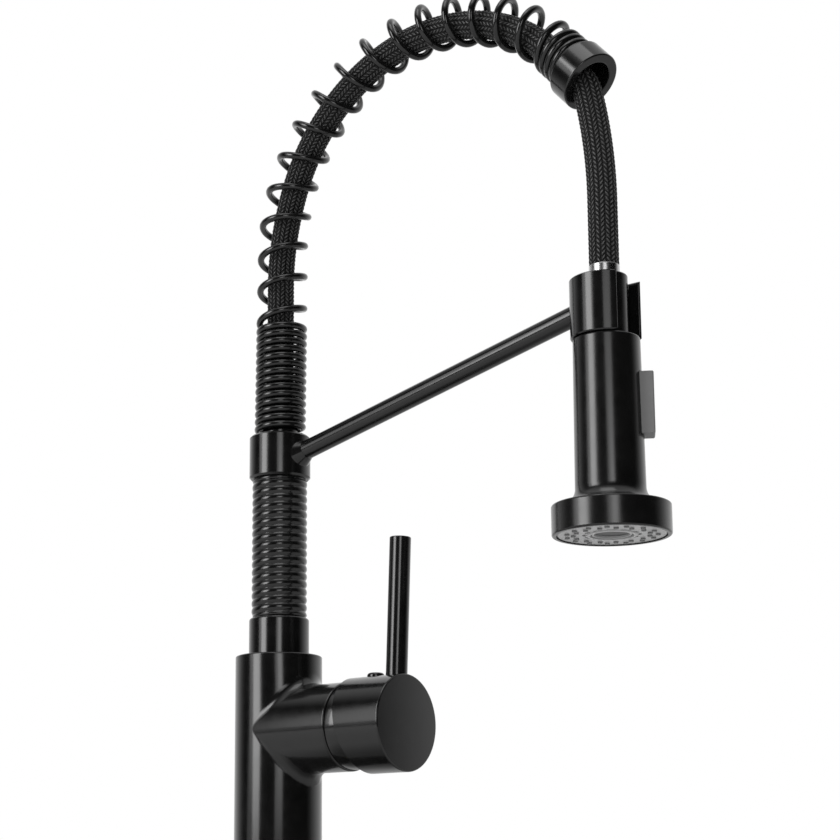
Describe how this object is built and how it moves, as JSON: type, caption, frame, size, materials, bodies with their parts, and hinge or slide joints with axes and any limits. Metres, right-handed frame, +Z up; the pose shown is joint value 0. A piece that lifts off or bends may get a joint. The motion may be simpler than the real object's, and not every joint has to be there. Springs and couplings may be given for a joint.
{
  "type": "pull-down spring kitchen mixer tap",
  "caption": "Satin black single-lever kitchen mixer: sprung hose over an arch, spray head held in an open clip on a slanted arm, knob with a rod lever at the side.",
  "frame": {"origin": "on the deck, under the middle of the column", "axes": "+Z up along the column; -Y toward the knob and, at rest, the spray head; +X to the right of someone who looks along +Y"},
  "size_m": [0.055, 0.2549, 0.5349],
  "materials": {
    "satin_black": "satin",
    "black_braid": "woven nylon over a rubber hose",
    "chrome": "polished",
    "brass": "turned",
    "steel": "plain",
    "rubber": "matte",
    "nozzle_rubber": "matte",
    "grey_plastic": "satin",
    "pale_plastic": "satin",
    "white_plastic": "moulded",
    "ceramic": "lapped alumina"
  },
  "bodies": {
    "base": {"base_ring": "satin_black", "base_gasket": "rubber", "body_column": "satin_black", "mounting_shank": "brass", "rubber_washer": "rubber", "metal_washer": "steel", "fixing_nut": "brass", "retaining_screw": "steel", "cartridge_base": "white_plastic", "ceramic_disc_fixed": "ceramic", "cartridge_housing": "white_plastic", "cartridge_nut": "brass", "bonnet_ring": "satin_black"},
    "turret": {"cartridge_turret": "white_plastic", "turret_pin": "steel"},
    "handle": {"cartridge_stem": "brass", "knob": "satin_black", "knob_set_screw": "steel", "knob_plug": "satin_black", "lever_rod": "satin_black"},
    "mixing_disc": {"ceramic_disc_moving": "ceramic"},
    "spout": {"neck_sleeve": "satin_black", "neck_o_rings": "rubber", "swivel_washer": "white_plastic", "hose_inlet_fitting": "brass", "riser_tube": "satin_black", "collar": "satin_black", "collar_set_screw": "steel", "arm_rod": "satin_black", "holder_clip": "satin_black", "spring": "satin_black", "spring_end_ring": "satin_black", "hose_arch": "black_braid", "hose_drop": "black_braid"},
    "hose_end": {"hose_ferrule": "chrome", "hose_nut": "brass", "hose_washer": "rubber"},
    "spray_head": {"spray_shell": "satin_black", "spray_core": "white_plastic", "spray_insert": "pale_plastic", "nozzle_mat": "nozzle_rubber", "aerator_disc": "grey_plastic", "button_pin": "steel"},
    "button": {"spray_button": "grey_plastic"},
    "spool": {"diverter_spool": "white_plastic"}
  },
  "joints": [
    {"name": "temperature_turn", "type": "hinge", "parent": "base", "child": "turret", "pos_m": [0, -0.05, 0.1111], "axis": [0, -1, 0], "range_deg": [-45, 45]},
    {"name": "flow_tilt", "type": "hinge", "parent": "turret", "child": "handle", "pos_m": [0, -0.05, 0.1111], "axis": [1, 0, 0], "range_deg": [0, 20]},
    {"name": "disc_slide", "type": "slide", "parent": "turret", "child": "mixing_disc", "axis": [0, 0, 1], "range_m": [0, 0.0062]},
    {"name": "spout_swivel", "type": "hinge", "parent": "base", "child": "spout", "pos_m": [0, 0, 0.15], "axis": [0, 0, 1], "continuous": true},
    {"name": "sprayer_pull", "type": "slide", "parent": "spout", "child": "hose_end", "axis": [0, 0, -1], "range_m": [0, 0.1], "stiffness_N_per_m": 60, "springref_m": -0.1, "deforming": ["hose_drop"]},
    {"name": "sprayer_turn", "type": "hinge", "parent": "hose_end", "child": "spray_head", "pos_m": [0, -0.2019, 0.28302], "axis": [0, 0, 1], "continuous": true},
    {"name": "button_rock", "type": "hinge", "parent": "spray_head", "child": "button", "pos_m": [0.00634, -0.21232, 0.25067], "axis": [0.8545, 0.5195, 0], "range_deg": [-4.5, 4.5]},
    {"name": "spool_slide", "type": "slide", "parent": "spray_head", "child": "spool", "axis": [0, 0, 1], "range_m": [-0.0007, 0.0007]}
  ],
  "couplings": [
    {"joint": "disc_slide", "follows": "flow_tilt", "m_per_rad": 0.017735},
    {"joint": "spool_slide", "follows": "button_rock", "m_per_rad": 0.00875}
  ]
}
